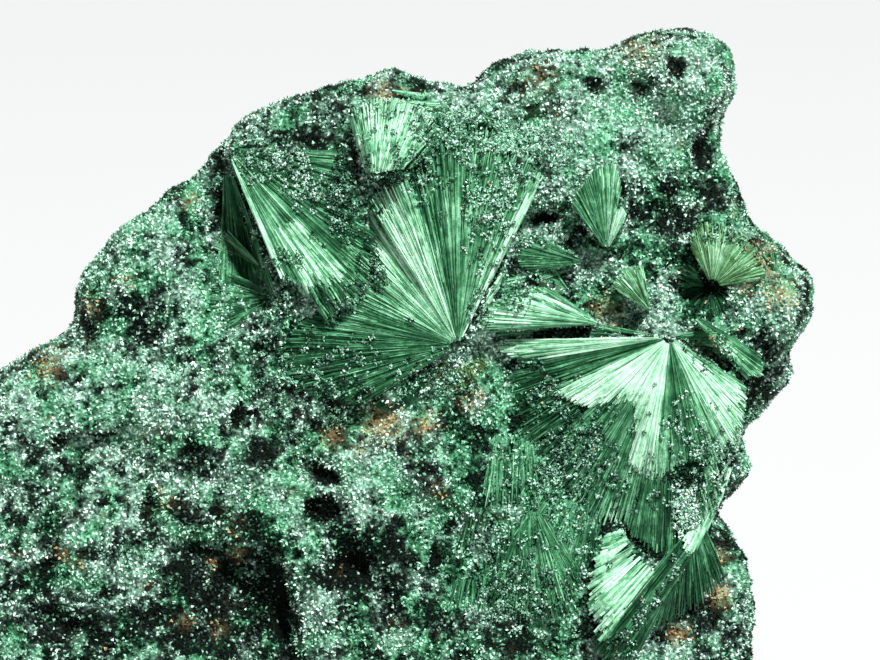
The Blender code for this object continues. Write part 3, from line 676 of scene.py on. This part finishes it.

# Each fan: how many needles, their width, how far they are lifted off the solid, how ragged their ends are,
# and stations of (angle, inner reach, outer reach, tone). The tone is painted sheen and shade: how light or
# dark the fibres' satin shine looks at each angle is painted into their green.
sprayFacts = {
    "centreSpray": {"stands": "centre_spray", "apex": (1.2, -1.0), "fans": [
        {"count": 1302, "width": 0.17, "lift": 0.02, "ragged": 0.16, "stations": [
            (63, 0.4, 12.4, 0.62), (70, 0.5, 13.4, 0.53), (80, 0.5, 14.2, 0.50), (90, 0.5, 14.6, 0.50),
            (98, 0.5, 14.2, 0.43), (104, 0.5, 12.0, 0.45), (108, 0.5, 11.9, 0.66), (118, 0.5, 11.6, 0.74),
            (124, 0.4, 10.6, 0.78), (132, 0.4, 8.6, 0.76), (140, 0.4, 7.6, 0.68), (148, 0.4, 7.3, 0.58),
            (156, 0.4, 7.6, 0.52), (165, 0.5, 9.2, 0.45), (172, 0.5, 10.8, 0.37), (182, 0.5, 12.5, 0.36),
            (196, 0.5, 11.0, 0.36), (205, 0.5, 8.6, 0.36), (212, 0.5, 7.5, 0.33)]},
        {"count": 399, "width": 0.15, "lift": 0.16, "ragged": 0.6, "stations": [
            (64, 0.3, 10.0, 0.62), (90, 0.3, 12.0, 0.50), (102, 0.3, 11.0, 0.42), (108, 0.3, 10.6, 0.74),
            (122, 0.3, 9.4, 0.76), (140, 0.3, 7.0, 0.72), (165, 0.3, 8.0, 0.43), (200, 0.3, 8.5, 0.40)]},
        {"count": 19, "width": 0.21, "lift": 0.5, "ragged": 0.1, "stations": [
            (61.5, 0.6, 11.6, 0.77), (65, 0.6, 10.8, 0.75)]},
        {"count": 44, "width": 0.2, "lift": 0.35, "ragged": 0.3, "stations": [
            (51, 0.4, 2.6, 0.76), (57, 0.4, 5.6, 0.80), (61, 0.4, 6.6, 0.80)]},
    ]},
    "lowerSpray": {"stands": "lower_spray", "apex": (15.2, -0.5), "fans": [
        {"count": 620, "width": 0.17, "lift": 0.04, "ragged": 0.2, "stations": [
            (203, 0.4, 8.4, 0.64), (207, 0.4, 8.4, 0.78), (213, 0.4, 7.7, 0.84), (220, 0.4, 7.1, 0.84),
            (228, 0.4, 5.9, 0.82), (236, 0.4, 5.0, 0.74), (244, 0.4, 5.0, 0.74), (250, 0.4, 6.6, 0.80),
            (256, 0.4, 8.6, 0.84), (263, 0.4, 9.6, 0.80)]},
        {"count": 700, "width": 0.17, "lift": 0.02, "ragged": 0.14, "stations": [
            (258, 0.4, 9.8, 0.76), (266, 0.4, 9.2, 0.56), (272, 0.4, 8.6, 0.44), (278, 0.4, 8.2, 0.40),
            (284, 0.4, 8.4, 0.50), (291, 0.4, 8.8, 0.64), (300, 0.4, 8.6, 0.74), (310, 0.4, 7.5, 0.80),
            (320, 0.4, 6.6, 0.72), (328, 0.4, 6.0, 0.55)]},
        {"count": 900, "width": 0.15, "lift": 0.0, "ragged": 0.25, "stations": [
            (222, 4.6, 9.8, 0.40), (238, 4.2, 12.4, 0.44), (250, 5.4, 12.9, 0.50), (256, 7.4, 12.6, 0.58),
            (262, 8.2, 13.6, 0.50), (270, 8.4, 14.4, 0.38), (277, 9.4, 13.2, 0.46),
            (283, 9.2, 11.6, 0.62), (290, 8.6, 10.4, 0.60)]},
        {"count": 168, "width": 0.22, "lift": 0.05, "ragged": 0.2, "stations": [
            (181, 0.4, 10.8, 0.66), (184, 0.4, 11.2, 0.74), (188, 0.4, 10.2, 0.60), (192, 0.5, 8.9, 0.43),
            (203, 0.5, 7.6, 0.36)]},
        {"count": 60, "width": 0.2, "lift": 0.2, "ragged": 0.12, "stations": [
            (252, 0.4, 8.6, 0.84), (262, 0.4, 9.4, 0.86)]},
    ]},
    "cornerSpray": {"stands": "corner_spray", "apex": (-14.3, 12.2), "fans": [
        {"count": 693, "width": 0.17, "lift": 0.02, "ragged": 0.15, "stations": [
            (293, 1.0, 9.7, 0.44), (298, 1.0, 11.2, 0.53), (304, 1.0, 12.0, 0.57), (310, 0.8, 12.4, 0.53),
            (318, 0.8, 11.8, 0.49), (324, 0.8, 11.0, 0.45), (332, 0.8, 10.3, 0.41), (345, 0.8, 8.9, 0.37),
            (358, 0.8, 8.2, 0.33)]},
        {"count": 55, "width": 0.31, "lift": 0.22, "ragged": 0.25, "stations": [
            (300, 6.4, 11.6, 0.66), (314, 6.6, 12.0, 0.68)]},
        {"count": 26, "width": 0.21, "lift": 0.3, "ragged": 0.08, "stations": [
            (291.5, 0.8, 9.9, 0.84), (295.0, 0.8, 9.9, 0.72)]},
    ]},
    "upperSpray": {"stands": "upper_spray", "apex": (-4.26, 8.49), "fans": [
        {"count": 320, "width": 0.17, "lift": 0.05, "ragged": 0.42, "stations": [
            (42, 3.3, 5.8, 0.58), (56, 2.5, 6.8, 0.68), (70, 2.1, 7.0, 0.74), (84, 1.9, 7.0, 0.80),
            (94, 1.9, 6.7, 0.70), (104, 1.9, 6.2, 0.64), (110, 2.0, 5.6, 0.58)]},
        {"count": 110, "width": 0.2, "lift": 0.16, "ragged": 0.3, "stations": [
            (66, 2.2, 4.6, 0.70), (105, 1.9, 4.8, 0.70)]},
    ]},
    "wedgeSpray": {"stands": "wedge_spray", "apex": (10.7, 0.4), "fans": [
        {"count": 189, "width": 0.24, "lift": 0.04, "ragged": 0.12, "stations": [
            (146, 0.2, 4.3, 0.52), (152, 0.2, 5.0, 0.62), (158, 0.2, 5.6, 0.68), (170, 0.2, 7.3, 0.72),
            (178, 0.2, 7.9, 0.68), (183, 0.2, 8.0, 0.49)]},
    ]},
    "greenSpray": {"stands": "green_spray", "apex": (11.1, 5.3), "fans": [
        {"count": 230, "width": 0.14, "lift": 0.22, "ragged": 0.14, "stations": [
            (78, 0.1, 4.4, 0.50), (86, 0.1, 5.8, 0.58), (98, 0.1, 5.4, 0.56), (112, 0.1, 4.5, 0.54),
            (128, 0.1, 3.8, 0.48)]},
        {"count": 60, "width": 0.16, "lift": 0.34, "ragged": 0.2, "stations": [
            (62, 0.1, 2.7, 0.72), (72, 0.1, 3.0, 0.84), (78, 0.1, 2.6, 0.72)]},
    ]},
    "darkSpray": {"stands": "dark_spray", "apex": (9.6, 4.5), "fans": [
        {"count": 134, "width": 0.17, "lift": 0.04, "ragged": 0.2, "stations": [
            (150, 0.1, 3.8, 0.41), (163, 0.1, 4.6, 0.46), (175, 0.1, 4.5, 0.49), (190, 0.1, 4.0, 0.46)]},
    ]},
    "middleSpray": {"stands": "middle_spray", "apex": (14.0, 1.3), "fans": [
        {"count": 150, "width": 0.13, "lift": 0.06, "ragged": 0.3, "old": 0.08, "stations": [
            (100, 0.1, 3.0, 0.58), (120, 0.1, 3.2, 0.62), (148, 0.1, 3.0, 0.54)]},
    ]},
    "rosetteSpray": {"stands": "rosette", "apex": (18.2, 2.9), "fans": [
        {"count": 300, "width": 0.13, "lift": 0.06, "ragged": 0.4, "old": 0.14, "stations": [
            (8, 0.5, 3.4, 0.58), (30, 0.5, 3.9, 0.60), (55, 0.5, 3.8, 0.58), (80, 0.5, 4.2, 0.62),
            (104, 0.5, 4.3, 0.60), (120, 0.5, 3.2, 0.52)]},
    ]},
    "rightLaths": {"stands": "right_laths", "apex": (16.5, 1.2), "fans": [
        {"count": 84, "width": 0.26, "lift": 0.05, "ragged": 0.15, "stations": [
            (312, 0.7, 5.9, 0.56), (320, 0.7, 6.5, 0.62), (329, 0.7, 5.7, 0.46)]},
    ]},
    "bottomBlades": {"stands": "bottom_blades", "apex": (19.4, -10.0), "fans": [
        {"count": 55, "width": 0.38, "lift": 0.1, "ragged": 0.12, "stations": [
            (204, 7.9, 9.6, 0.68), (213, 7.9, 10.9, 0.72), (222, 7.9, 12.8, 0.75), (231, 7.9, 13.6, 0.75)]},
        {"count": 230, "width": 0.17, "lift": 0.02, "ragged": 0.12, "stations": [
            (229, 0.5, 13.9, 0.34), (235, 0.5, 14.4, 0.32), (242, 0.5, 14.0, 0.38)]},
    ]},
    "bottomSpray": {"stands": "bottom_spray", "apex": (6.0, -11.0), "fans": [
        {"count": 260, "width": 0.14, "lift": 0.02, "ragged": 0.6, "stations": [
            (248, 1.6, 7.6, 0.40), (262, 1.2, 8.4, 0.48), (280, 1.0, 8.2, 0.42), (294, 1.4, 7.2, 0.50),
            (305, 2.0, 6.2, 0.40)]},
    ]},
}


def needlePaths(centre, fan, count, rng):
    # Each needle of a fan: its stations on the face with their heights, the way that it points, and its tone,
    # which is painted sheen and shade.
    # It follows the solids below it.
    stops = np.array(needleFacts["stops"])
    angles, inner, outer, tonesAndPaintedLight = (np.array(row, float) for row in zip(*fan["stations"]))
    share = (np.arange(count) + rng.random(count)) / count
    angle = angles[0] + share * (angles[-1] - angles[0])
    start = np.interp(angle, angles, inner)
    end = np.interp(angle, angles, outer)
    fewLate, latest = needleFacts["late"]
    start = start + (end - start) * rng.random(count) ** fewLate * latest
    end = end * (1.0 - fan["ragged"] * rng.random(count) ** needleFacts["early"])
    end = end * rng.uniform(*needleFacts["ends"], count)
    end = np.maximum(end, start + needleFacts["shortest"])
    radius = start[:, None] + (end - start)[:, None] * stops
    waver = rng.normal(0, needleFacts["waver"], count)
    way = np.radians(angle)[:, None] + waver[:, None] * (stops - 0.5)
    u = centre[0] + radius * np.cos(way)
    v = centre[1] + radius * np.sin(way)
    height = castDown(faceTree, u, v)
    step = (end - start)[:, None] * np.diff(stops)
    for k in range(1, len(stops)):
        lowest = height[:, k - 1] - needleFacts["steepest"] * step[:, k - 1]
        height[:, k] = np.fmax(height[:, k], lowest)
    height = height + fan["lift"] + rng.normal(0, needleFacts["heights"], count)[:, None]
    return toPart(u, v, height), way, np.interp(angle, angles, tonesAndPaintedLight)


def needleCorners(spine, way, width, roll):
    # Three corners around each station.
    heading = way.mean(axis=1)
    along = np.cos(heading)[:, None] * faceRight + np.sin(heading)[:, None] * faceUp
    side = np.cross(faceOut, along)
    across = side * np.cos(roll)[:, None] + faceOut * np.sin(roll)[:, None]
    up = faceOut * np.cos(roll)[:, None] - side * np.sin(roll)[:, None]
    halfWide = (width[:, None] * np.array(needleFacts["taper"]) / 2 * mm)[..., None]
    halfHigh = halfWide * needleFacts["flatness"]
    across, up = across[:, None, :], up[:, None, :]
    ring = np.stack((
        spine + across * halfWide - up * halfHigh, spine + up * halfHigh,
        spine - across * halfWide - up * halfHigh), axis=2)
    return ring.reshape(-1, 3)


def needleFaces(total):
    corners = 3 * len(needleFacts["stops"])
    last = corners - 3
    pattern = [(2, 1, 0), (last, last + 1, last + 2)]
    for k in range(0, last, 3):
        for c in range(3):
            a, b = k + c, k + (c + 1) % 3
            pattern += [(a, b, b + 3), (a, b + 3, a + 3)]
    return (np.arange(total)[:, None, None] * corners + np.array(pattern)).reshape(-1, 3)


def needleMesh(name, fans, rng):
    # All the needles of these fans. Each fan comes with its apex.
    pointSets, lookSets = [], []
    stops = needleFacts["stops"]
    corners = len(stops) * 3
    for centre, fan in fans:
        count = round(fan["count"] * needleFacts["crowd"])
        spine, way, tone = needlePaths(centre, fan, count, rng)
        width = fan["width"] * needleFacts["fineness"] * rng.uniform(*needleFacts["widths"], count)
        roll = rng.normal(0, needleFacts["roll"], count)
        pointSets.append(needleCorners(spine, way, width, roll))
        # The tone is the fan's painted sheen and shade at this needle's angle.
        lookSets.append((
            np.repeat(tone, corners), np.full(count * corners, fan.get("old", 0.0)),
            np.repeat(rng.random(count), corners), np.tile(np.repeat(stops, 3), count)))
    points = np.concatenate(pointSets)
    mesh = meshFromArrays(name, insideBox(points), needleFaces(len(points) // corners))
    tint(mesh, *(np.concatenate(sets) for sets in zip(*lookSets)))
    return mesh


sprays = []
for number, (name, facts) in enumerate(sprayFacts.items()):
    needleRng = np.random.default_rng(needleFacts["firstSeed"] + number)
    mesh = needleMesh(name, [(facts["apex"], fan) for fan in facts["fans"]], needleRng)
    sprays.append(addPiece(name, mesh, needleMaterial, "spray", facts["stands"]))
print("sprays:", len(sprayFacts))


frostFacts = {
    "patches": [  # u, v, long radius, short radius, turn, clumps, tone, mintiness
        (-9.8, 10.4, 5.0, 1.7, -42, 130, 0.68, 0.75), (-6.6, 8.4, 2.8, 2.2, -40, 80, 0.34, 0.3),
        (3.0, 12.7, 4.8, 1.5, -8, 150, 0.68, 0.36), (-3.8, 14.2, 2.6, 1.1, 0, 26, 0.74, 0.5),
        (2.3, 8.6, 0.8, 4.4, 0, 56, 0.68, 0.35), (4.2, 9.8, 0.7, 3.0, -22, 40, 0.68, 0.35),
        # The patch at (-3.4, 9.8) with tone -0.6 is painted shadow: black clumps in the shaded gap under the
        # upper spray.
        (-5.4, 9.9, 1.4, 0.9, -10, 36, 0.36, 0.3), (-3.4, 9.8, 1.3, 0.35, 18, 50, -0.6, 0.2),
        (4.4, 8.4, 1.3, 3.4, -24, 60, 0.66, 0.7), (-1.2, 10.6, 1.8, 2.0, 0, 60, 0.55, 0.4),
        (1.2, -1.5, 1.4, 0.8, 0, 30, 0.62, 0.7), (17.0, -7.0, 2.0, 3.4, 15, 56, 0.72, 0.7),
        (18.6, -8.4, 2.0, 1.2, -20, 24, 0.5, 0.6), (6.8, 6.2, 2.6, 0.8, 15, 40, 0.62, 0.7),
        (8.6, -8.8, 3.8, 2.4, 55, 140, 0.58, 0.5), (10.8, -9.0, 4.4, 4.0, 60, 70, 0.56, 0.4),
        (16.4, -11.7, 1.0, 1.6, -10, 110, 0.86, 0.85), (5.0, -17.0, 3.6, 4.0, 0, 170, 0.56, 0.6),
        (-12.6, 11.4, 1.8, 1.2, -45, 40, 0.6, 0.6), (5.4, 2.6, 0.8, 1.6, -30, 24, 0.6, 0.5),
        (-7.6, -2.4, 5.0, 2.8, 0, 90, 0.6, 0.5), (0.2, -3.4, 3.0, 1.0, -10, 60, 0.5, 0.6),
        # The patch at (16.5, -9.9) with tone -0.6 is painted shadow: black clumps in the shaded opening under
        # the frosted bulge.
        (18.4, -1.6, 1.6, 1.0, -20, 60, 0.6, 0.3), (16.5, -9.9, 1.5, 0.5, -8, 70, -0.6, 0.2),
        (13.4, -19.0, 5.0, 0.8, 58, 40, 0.5, 0.9), (10.2, 4.6, 0.9, 0.8, 0, 18, 0.74, 0.75),
        (12.9, 0.8, 0.7, 0.5, 0, 10, 0.4, 0.3), (-10.0, 2.0, 1.0, 0.8, 0, 16, 0.45, 0.4),
    ],
    "arcs": [  # u, v of the apex, first and last angle, nearest and farthest, clumps, tone, mintiness
        (1.2, -1.0, 60, 102, 13.3, 15.8, 190, 0.64, 0.5), (1.2, -1.0, 150, 215, 11.6, 13.6, 90, 0.46, 0.35),
        (1.2, -1.0, 196, 216, 6.6, 10.4, 60, 0.32, 0.3), (-14.3, 12.2, 332, 362, 7.4, 9.6, 60, 0.42, 0.4),
        (-14.3, 12.2, 300, 324, 12.0, 14.0, 60, 0.50, 0.3), (15.2, -0.5, 292, 330, 7.4, 9.6, 40, 0.56, 0.5),
        (15.2, -0.5, 262, 292, 10.2, 12.2, 24, 0.40, 0.4),
        (15.2, -0.5, 200, 236, 8.0, 10.2, 60, 0.50, 0.3), (10.7, 0.4, 150, 186, 7.4, 8.8, 30, 0.55, 0.6),
        (18.2, 2.9, 10, 130, 3.2, 4.6, 50, 0.50, 0.4), (19.4, -10.0, 204, 244, 13.0, 14.4, 30, 0.50, 0.4),
    ],
    "grains": (6, 17),
    "clump": (0.10, 0.34),  # radius of a clump in mm
    "radius": (0.04, 0.11),
    "length": (0.08, 0.24),
    "above": 0.10,  # the solids, in mm
    "aboveNeedles": 0.02,
    "patchSpread": 0.5,
    "toneSpread": 0.13,
    "mintySpread": 0.2,
    "spread": 0.6,  # of its grains, as a share of the clump's radius
    "dome": 0.7,
    "domeMiddle": 0.1,
    "paintedDomeLight": 0.8,
    "seed": 31,
}


def clumpCentres(rng):
    # Places, tones and mintiness of the clumps, patch by patch and arc by arc.
    for cu, cv, along, across, turn, count, tone, minty in frostFacts["patches"]:
        a = math.radians(turn)
        x, y = rng.normal(0, frostFacts["patchSpread"], (2, count))
        u = cu + x * along * math.cos(a) - y * across * math.sin(a)
        v = cv + x * along * math.sin(a) + y * across * math.cos(a)
        yield u, v, np.full(count, tone), np.full(count, minty)
    for cu, cv, first, last, near, far, count, tone, minty in frostFacts["arcs"]:
        angle = np.radians(rng.uniform(first, last, count))
        reach = rng.uniform(near, far, count)
        u, v = cu + reach * np.cos(angle), cv + reach * np.sin(angle)
        yield u, v, np.full(count, tone), np.full(count, minty)


def addFrost(pieces):
    # Clumps of tiny crystals lie on the needles of these pieces and, where there are none, on the solids.
    needleTree = treeOf(pieces)
    rng = np.random.default_rng(frostFacts["seed"])
    u, v, tone, minty = (np.concatenate(rows) for rows in zip(*clumpCentres(rng)))
    size = rng.uniform(*frostFacts["clump"], len(u))
    tone = tone + rng.normal(0, frostFacts["toneSpread"], len(u))
    minty = minty + rng.normal(0, frostFacts["mintySpread"], len(u))
    many = rng.integers(*frostFacts["grains"], len(u))
    u, v, tone, minty, size = (np.repeat(row, many) for row in (u, v, tone, minty, size))
    x, y = rng.normal(0, frostFacts["spread"], (2, len(u)))
    u, v = u + x * size, v + y * size
    dome = size * np.exp(-(x * x + y * y)) * frostFacts["dome"]
    onSolids = castDown(faceTree, u, v) + frostFacts["above"]
    onNeedles = castDown(needleTree, u, v) + frostFacts["aboveNeedles"]
    height = np.fmax(onSolids, onNeedles) + dome
    met = ~np.isnan(height)
    place = toPart(u[met], v[met], height[met])
    normal = np.tile(faceOut, (len(place), 1))
    # Grains high on a clump are made lighter and those at its foot darker: painted shading of the clump.
    tone = tone[met] + (dome[met] - frostFacts["domeMiddle"]) * frostFacts["paintedDomeLight"]
    mesh = grainMesh("frost", place, normal, rng, frostFacts, tone, minty[met])
    addPiece("frost", mesh, grainMaterial, "matrix")
    print("frost:", len(place))


tuftFacts = {
    "tufts": [  # the apex of each one, and its fan
        ((15.2, -0.5), {"count": 80, "width": 0.2, "lift": 0.1, "ragged": 0.3, "stations": [
            (176.5, 0.5, 12.4, 0.58), (180.5, 0.5, 12.0, 0.46)]}),
        ((8.9, 4.05), {"count": 40, "width": 0.15, "lift": 0.2, "ragged": 0.3, "stations": [
            (188, 0.2, 4.4, 0.7), (198, 0.2, 4.8, 0.6)]}),
        ((-14.6, 12.0), {"count": 210, "width": 0.18, "lift": 0.06, "ragged": 0.3, "stations": [
            (268, 1.5, 8.5, 0.38), (278, 1.5, 10.5, 0.42), (291, 1.5, 11.5, 0.42)]}),
        ((-12.0, 4.2), {"count": 110, "width": 0.15, "lift": 0.2, "ragged": 0.4, "old": 0.05, "stations": [
            (132, 0.3, 3.6, 0.62), (158, 0.3, 3.6, 0.6)]}),
        ((-11.0, 2.2), {"count": 190, "width": 0.15, "lift": 0.05, "ragged": 0.4, "stations": [
            (150, 0.5, 3.6, 0.4), (185, 0.5, 4.6, 0.35), (215, 0.5, 4.0, 0.3)]}),
        ((-14.3, 12.2), {"count": 240, "width": 0.17, "lift": 0.0, "ragged": 0.3, "stations": [
            (300, 10.5, 13.4, 0.5), (314, 10.5, 13.4, 0.55), (330, 9.5, 11.6, 0.45)]}),
        ((1.2, -1.0), {"count": 200, "width": 0.16, "lift": 0.0, "ragged": 0.4, "stations": [
            (208, 0.5, 7.8, 0.3), (232, 0.5, 5.5, 0.25)]}),
        ((1.2, -1.0), {"count": 130, "width": 0.15, "lift": 0.05, "ragged": 0.5, "old": 0.2, "stations": [
            (232, 0.3, 3.4, 0.35), (330, 0.3, 2.4, 0.3)]}),
        ((15.2, -0.5), {"count": 230, "width": 0.15, "lift": 0.12, "ragged": 0.4, "stations": [
            (327, 0.3, 4.6, 0.5), (350, 0.3, 4.8, 0.58), (372, 0.3, 3.0, 0.45)]}),
        ((15.2, -0.5), {"count": 260, "width": 0.16, "lift": 0.0, "ragged": 0.3, "stations": [
            (192, 7.0, 11.0, 0.3), (214, 7.5, 11.5, 0.3), (236, 8.0, 12.0, 0.25)]}),
        ((4.4, -2.0), {"count": 240, "width": 0.14, "lift": 0.0, "ragged": 0.5, "stations": [
            (256, 10.0, 16.5, 0.44), (284, 10.0, 17.5, 0.4)]}),
        ((12.0, -4.5), {"count": 170, "width": 0.14, "lift": 0.0, "ragged": 0.5, "stations": [
            (232, 6.5, 12.0, 0.42), (262, 7.5, 12.0, 0.4)]}),
        ((22.7, -1.94), {"count": 110, "width": 0.28, "lift": 0.45, "ragged": 0.06, "stations": [
            (242.6, 7.8, 13.8, 0.84), (247.0, 7.6, 14.4, 0.7)]}),
        ((22.35, -7.24), {"count": 75, "width": 0.24, "lift": 0.36, "ragged": 0.1, "stations": [
            (230.6, 8.4, 16.8, 0.27), (234.8, 8.2, 16.4, 0.36)]}),
        ((18.2, 2.9), {"count": 110, "width": 0.15, "lift": 0.0, "ragged": 0.4, "stations": [
            (120, 0.5, 3.0, 0.4), (200, 0.5, 2.0, 0.2), (300, 0.5, 2.2, 0.25), (368, 0.5, 3.2, 0.4)]}),
        ((-3.4, 16.1), {"count": 22, "width": 0.28, "lift": 0.1, "ragged": 0.3, "stations": [
            (338, 0.2, 3.6, 0.68), (354, 0.2, 3.8, 0.64)]}),
        ((-3.2, 15.2), {"count": 90, "width": 0.16, "lift": 0.08, "ragged": 0.4, "stations": [
            (-14, 0.4, 3.6, 0.60), (10, 0.4, 4.0, 0.54)]}),
        ((16.6, -11.0), {"count": 240, "width": 0.16, "lift": 0.0, "ragged": 0.5, "stations": [
            (256, 1.0, 9.0, 0.3), (296, 1.0, 6.0, 0.3)]}),
        ((22.6, 3.6), {"count": 90, "width": 0.15, "lift": 0.0, "ragged": 0.5, "stations": [
            (90, 0.2, 1.6, 0.4), (200, 0.2, 2.2, 0.4)]}),
        ((8.6, 2.6), {"count": 150, "width": 0.16, "lift": 0.0, "ragged": 0.4, "stations": [
            (120, 0.2, 2.6, 0.4), (200, 0.2, 5.2, 0.5)]}),
        ((15.2, -0.5), {"count": 50, "width": 0.19, "lift": 0.12, "ragged": 0.25, "stations": [
            (169, 0.8, 4.9, 0.55), (172, 0.8, 5.2, 0.7), (175, 0.8, 5.6, 0.5)]}),
        ((5.0, 4.0), {"count": 120, "width": 0.15, "lift": 0.0, "ragged": 0.5, "stations": [
            (262, 11.0, 16.0, 0.46), (276, 11.0, 16.0, 0.42)]}),
        ((10.8, 0.35), {"count": 60, "width": 0.2, "lift": 0.02, "ragged": 0.2, "stations": [
            (183, 0.3, 7.4, 0.5), (187, 0.3, 6.4, 0.42)]}),
    ],
    "seed": 77,
}
tuftMesh = needleMesh("tufts", tuftFacts["tufts"], np.random.default_rng(tuftFacts["seed"]))
tufts = addPiece("tufts", tuftMesh, needleMaterial, "spray")
print("tufts ready")
addFrost([*sprays, tufts])


photoWidth = 880  # pixels
pixelsPerMm = 15.0
studio = {
    "floorSize": 4.0,
    "floorColour": (0.498, 0.498, 0.502, 1.0),
    "world": 0.14,
    "key": {"place": (0.45, -1.0, 1.45), "size": 0.16, "power": 63.0},
    "fill": {"place": (-0.5, -0.6, 0.35), "size": 0.5, "power": 0.6},
    "back": {"place": (-0.35, 0.85, 1.1), "size": 0.6, "power": 10.0},
    "distance": 350.0,  # of the camera from the face, in mm
    "sensorWidth": 36.0,
    "framedWidth": photoWidth / pixelsPerMm,
}


def addFloor():
    bpy.ops.object.select_all(action="DESELECT")
    bpy.ops.mesh.primitive_plane_add(size=studio["floorSize"])
    floor = bpy.context.active_object
    floor.name = "floor"
    shade = Shade("palePaper")
    floor.data.materials.append(shade.finish(Base_Color=studio["floorColour"], Roughness=0.9))


def addLight(name, facts):
    light = bpy.data.lights.new(name, "AREA")
    light.energy = facts["power"]
    light.size = facts["size"]
    lamp = bpy.data.objects.new(name, light)
    lamp.location = facts["place"]
    aim = Vector(toPart(0.0, 0.0, 0.0)) - lamp.location
    lamp.rotation_euler = aim.to_track_quat("-Z", "Y").to_euler()
    bpy.context.scene.collection.objects.link(lamp)


def addCamera():
    data = bpy.data.cameras.new("photoCamera")
    data.sensor_width = studio["sensorWidth"]
    data.lens = studio["sensorWidth"] / studio["framedWidth"] * studio["distance"]
    camera = bpy.data.objects.new("photoCamera", data)
    camera.location = Vector(toPart(0.0, 0.0, studio["distance"]))
    camera.rotation_euler = (math.pi / 2 - faceLean, 0.0, 0.0)
    bpy.context.scene.collection.objects.link(camera)
    bpy.context.scene.camera = camera


def addWorld():
    world = bpy.data.worlds.new("studio")
    world.use_nodes = True
    background = world.node_tree.nodes["Background"]
    background.inputs["Color"].default_value = (1.0, 1.0, 1.0, 1.0)
    background.inputs["Strength"].default_value = studio["world"]
    bpy.context.scene.world = world
    bpy.context.scene.view_settings.view_transform = "Standard"


addFloor()
for lamp in ("key", "fill", "back"):
    addLight(f"{lamp}Light", studio[lamp])
addCamera()
addWorld()
print("studio ready")
